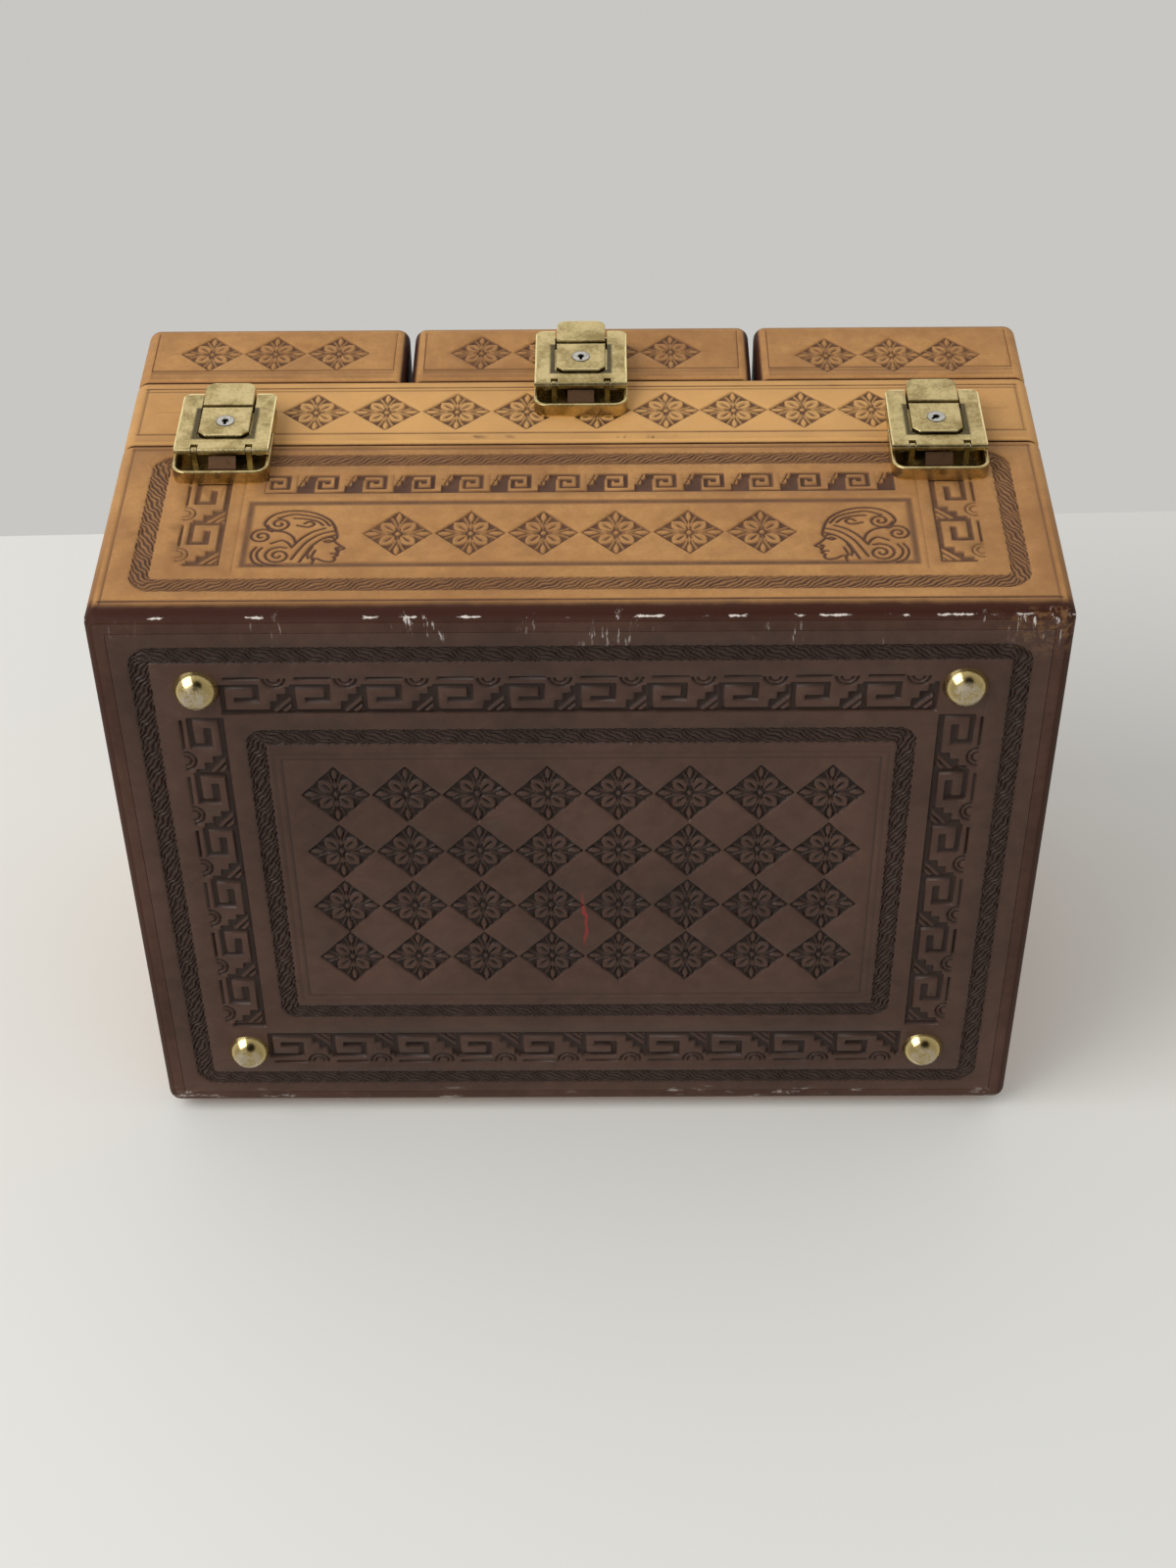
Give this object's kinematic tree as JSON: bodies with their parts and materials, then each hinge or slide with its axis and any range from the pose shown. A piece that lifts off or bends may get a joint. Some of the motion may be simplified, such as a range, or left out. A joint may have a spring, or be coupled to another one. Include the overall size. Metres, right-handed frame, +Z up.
{
  "type": "leather jewellery case",
  "caption": "Tooled leather jewellery case: a base, a hinged upper tray with winged lids, brass key latches and domed stud feet.",
  "frame": {"origin": "on the ground under the middle of the case, latches and hinges included", "axes": "+Z up with the lids on top, -Y out of the front with the latches, +X to the right seen from the front"},
  "size_m": [0.2984, 0.229, 0.1612],
  "materials": {
    "tan_leather": "tooled, waxed",
    "brown_leather": "tooled, waxed",
    "wood": "plain",
    "velvet": "velvet",
    "polished_brass": "polished, worn tips",
    "antique_brass": "antique",
    "brown_steel": "lacquered",
    "bright_steel": "bright"
  },
  "bodies": {
    "base": {"base_leather": "tan_leather", "bottom_leather": "brown_leather", "base_floor": "wood", "base_frame": "wood", "base_lining": "velvet", "foot_studs": "polished_brass", "left_lock_pan": "antique_brass", "left_hasp_pin": "antique_brass", "left_hasp_spring": "brown_steel", "right_lock_pan": "antique_brass", "right_hasp_pin": "antique_brass", "right_hasp_spring": "brown_steel", "base_latch_rivets": "antique_brass", "main_lower_leaves": "antique_brass", "main_hinge_pins": "antique_brass", "base_hinge_screws": "antique_brass"},
    "tray": {"tray_leather": "tan_leather", "tray_frame": "wood", "tray_floor": "wood", "tray_under_lining": "velvet", "tray_dividers": "wood", "left_tray_lining": "velvet", "centre_tray_lining": "velvet", "right_tray_lining": "velvet", "left_strike": "antique_brass", "right_strike": "antique_brass", "centre_lock_pan": "antique_brass", "centre_hasp_pin": "antique_brass", "centre_hasp_spring": "brown_steel", "tray_latch_rivets": "antique_brass", "main_upper_leaves": "antique_brass", "lid_lower_leaves": "antique_brass", "lid_hinge_pins": "antique_brass", "tray_hinge_screws": "antique_brass"},
    "left_lid": {"left_lid_leather": "tan_leather", "left_lid_box": "wood", "left_lid_lining": "velvet", "left_lid_upper_leaves": "antique_brass", "left_lid_hinge_screws": "antique_brass"},
    "centre_lid": {"centre_lid_leather": "tan_leather", "centre_lid_box": "wood", "centre_lid_lining": "velvet", "centre_lid_upper_leaves": "antique_brass", "centre_lid_hinge_screws": "antique_brass", "centre_strike": "antique_brass", "centre_lid_latch_rivets": "antique_brass"},
    "right_lid": {"right_lid_leather": "tan_leather", "right_lid_box": "wood", "right_lid_lining": "velvet", "right_lid_upper_leaves": "antique_brass", "right_lid_hinge_screws": "antique_brass"},
    "left_hasp_plate": {"left_hasp": "antique_brass"},
    "left_button": {"left_key_button": "antique_brass"},
    "left_key": {"left_key_plug": "bright_steel"},
    "centre_hasp_plate": {"centre_hasp": "antique_brass"},
    "centre_button": {"centre_key_button": "antique_brass"},
    "centre_key": {"centre_key_plug": "bright_steel"},
    "right_hasp_plate": {"right_hasp": "antique_brass"},
    "right_button": {"right_key_button": "antique_brass"},
    "right_key": {"right_key_plug": "bright_steel"}
  },
  "joints": [
    {"name": "tray_hinge", "type": "hinge", "parent": "base", "child": "tray", "pos_m": [0, 0.1125, 0.0925], "axis": [-1, 0, 0], "range_deg": [0, 95]},
    {"name": "centre_lid_hinge", "type": "hinge", "parent": "tray", "child": "centre_lid", "pos_m": [0, 0.1125, 0.1281], "axis": [-1, 0, 0], "range_deg": [0, 95]},
    {"name": "left_lid_hinge", "type": "hinge", "parent": "tray", "child": "left_lid", "pos_m": [-0.1472, 0.0023, 0.1281], "axis": [0, -1, 0], "range_deg": [0, 95]},
    {"name": "right_lid_hinge", "type": "hinge", "parent": "tray", "child": "right_lid", "pos_m": [0.1472, 0.0023, 0.1281], "axis": [0, 1, 0], "range_deg": [0, 95]},
    {"name": "left_hasp_hinge", "type": "hinge", "parent": "base", "child": "left_hasp_plate", "pos_m": [-0.1115, -0.1118, 0.0803], "axis": [1, 0, 0], "range_deg": [0, 110]},
    {"name": "left_button_press", "type": "slide", "parent": "left_hasp_plate", "child": "left_button", "axis": [0, 1, 0], "range_m": [0, 0.0012], "stiffness_N_per_m": 400, "springref_m": -0.002},
    {"name": "left_key_turn", "type": "hinge", "parent": "left_button", "child": "left_key", "pos_m": [-0.1115, -0.114, 0.0933], "axis": [0, 1, 0], "range_deg": [0, 90]},
    {"name": "centre_hasp_hinge", "type": "hinge", "parent": "tray", "child": "centre_hasp_plate", "pos_m": [0, -0.1118, 0.1159], "axis": [1, 0, 0], "range_deg": [0, 110]},
    {"name": "centre_button_press", "type": "slide", "parent": "centre_hasp_plate", "child": "centre_button", "axis": [0, 1, 0], "range_m": [0, 0.0012], "stiffness_N_per_m": 400, "springref_m": -0.002},
    {"name": "centre_key_turn", "type": "hinge", "parent": "centre_button", "child": "centre_key", "pos_m": [0, -0.114, 0.1289], "axis": [0, 1, 0], "range_deg": [0, 90]},
    {"name": "right_hasp_hinge", "type": "hinge", "parent": "base", "child": "right_hasp_plate", "pos_m": [0.1115, -0.1118, 0.0803], "axis": [1, 0, 0], "range_deg": [0, 110]},
    {"name": "right_button_press", "type": "slide", "parent": "right_hasp_plate", "child": "right_button", "axis": [0, 1, 0], "range_m": [0, 0.0012], "stiffness_N_per_m": 400, "springref_m": -0.002},
    {"name": "right_key_turn", "type": "hinge", "parent": "right_button", "child": "right_key", "pos_m": [0.1115, -0.114, 0.0933], "axis": [0, 1, 0], "range_deg": [-45, 45]}
  ]
}
